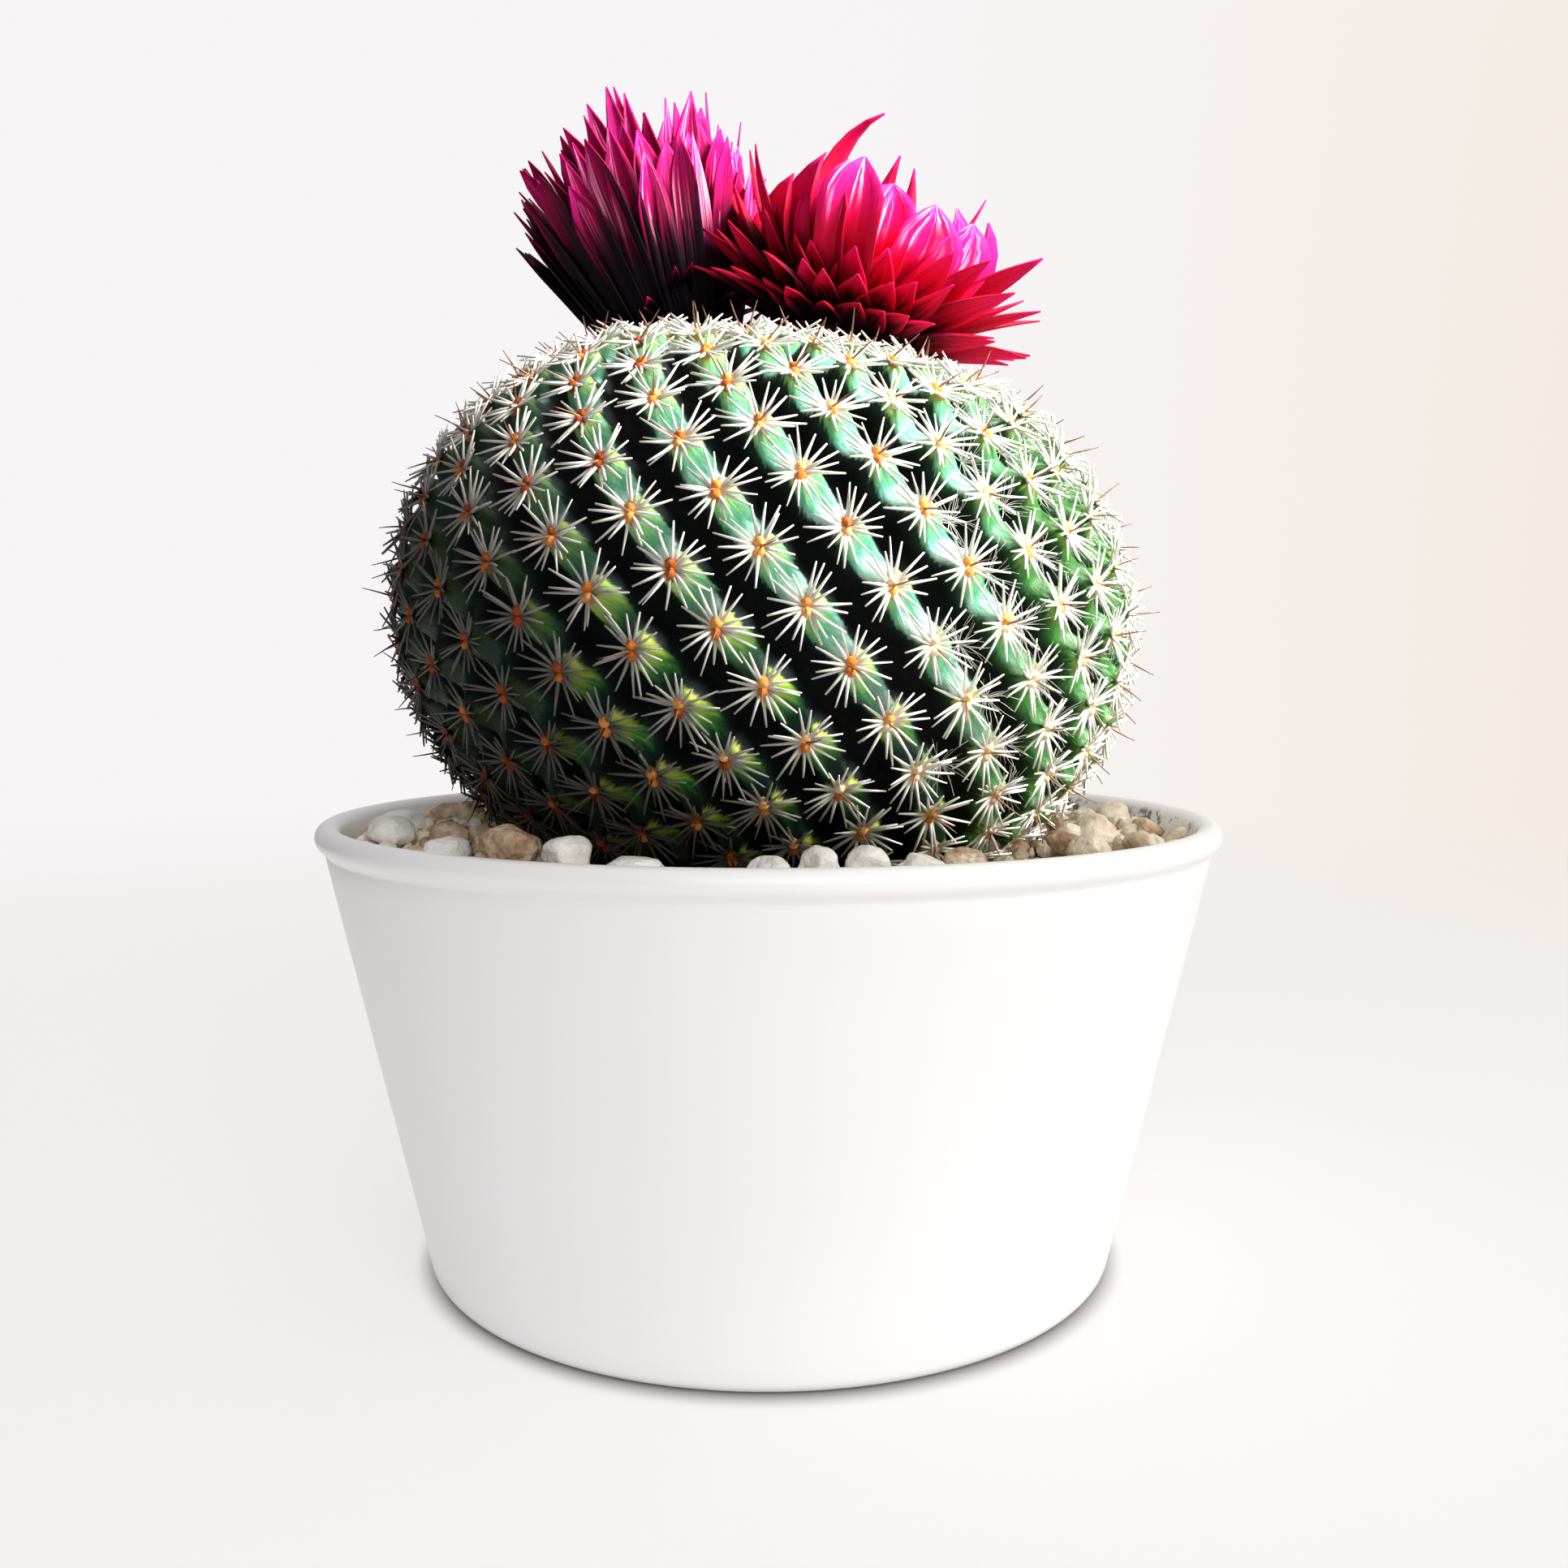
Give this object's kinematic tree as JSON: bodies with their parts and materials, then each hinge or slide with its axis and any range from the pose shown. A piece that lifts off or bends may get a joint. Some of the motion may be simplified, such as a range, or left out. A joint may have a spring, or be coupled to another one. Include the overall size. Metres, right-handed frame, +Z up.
{
  "type": "potted cactus",
  "caption": "Ball-shaped cactus in a plain tapered white pot with pale gravel, topped with magenta dried flower heads.",
  "frame": {"origin": "centre of the pot's foot on the floor", "axes": "+Z up along the pot's axis; -Y is the front, the side with the open flower nearer; +X is to the right seen from the front, the side that the cactus leans to"},
  "size_m": [0.1, 0.1, 0.132],
  "materials": {
    "pot_glaze": "satin white glaze",
    "cactus_skin": "waxy green skin",
    "soil": "damp dark potting soil",
    "gravel": "fine pale crumbs",
    "stone_white": "smooth pale pebble",
    "stone_tan": "porous tan pebble",
    "flower_base": "dark dried base",
    "flower_disc": "dried florets",
    "bract_magenta": "papery, slightly glossy"
  },
  "bodies": {
    "root": {"pot": "pot_glaze", "cactus_body": "cactus_skin", "soil": "soil", "gravel_bed": "gravel", "stone_large_1": "stone_tan", "stone_large_2": "stone_white", "stone_large_3": "stone_white", "stone_large_4": "stone_white", "stone_large_5": "stone_white", "stone_large_6": "stone_white", "stone_large_7": "stone_white", "stone_large_8": "stone_white", "stone_large_9": "stone_tan", "stone_small_01": "stone_white", "stone_small_02": "stone_tan", "stone_small_03": "stone_white", "stone_small_04": "stone_white", "stone_small_05": "stone_tan", "stone_small_06": "stone_white", "stone_small_07": "stone_white", "stone_small_08": "stone_tan", "stone_small_09": "stone_white", "stone_small_10": "stone_white", "stone_small_11": "stone_tan", "stone_small_12": "stone_white", "stone_small_13": "stone_white", "stone_small_14": "stone_tan", "stone_small_15": "stone_white", "stone_small_16": "stone_white", "stone_small_17": "stone_tan", "stone_small_18": "stone_white", "stone_small_19": "stone_white", "stone_small_20": "stone_tan", "stone_small_21": "stone_white", "stone_small_22": "stone_white", "stone_small_23": "stone_tan", "stone_small_24": "stone_white", "stone_small_25": "stone_white", "stone_small_26": "stone_tan", "stone_small_27": "stone_white", "stone_small_28": "stone_white", "flower_left_base": "flower_base", "flower_left_disc": "flower_disc", "flower_left_whorl_1": "bract_magenta", "flower_left_whorl_2": "bract_magenta", "flower_left_whorl_3": "bract_magenta", "flower_left_whorl_4": "bract_magenta", "flower_left_whorl_5": "bract_magenta", "flower_right_base": "flower_base", "flower_right_disc": "flower_disc", "flower_right_whorl_1": "bract_magenta", "flower_right_whorl_2": "bract_magenta", "flower_right_whorl_3": "bract_magenta", "flower_right_whorl_4": "bract_magenta", "flower_right_whorl_5": "bract_magenta", "flower_right_whorl_6": "bract_magenta"}
  },
  "joints": []
}
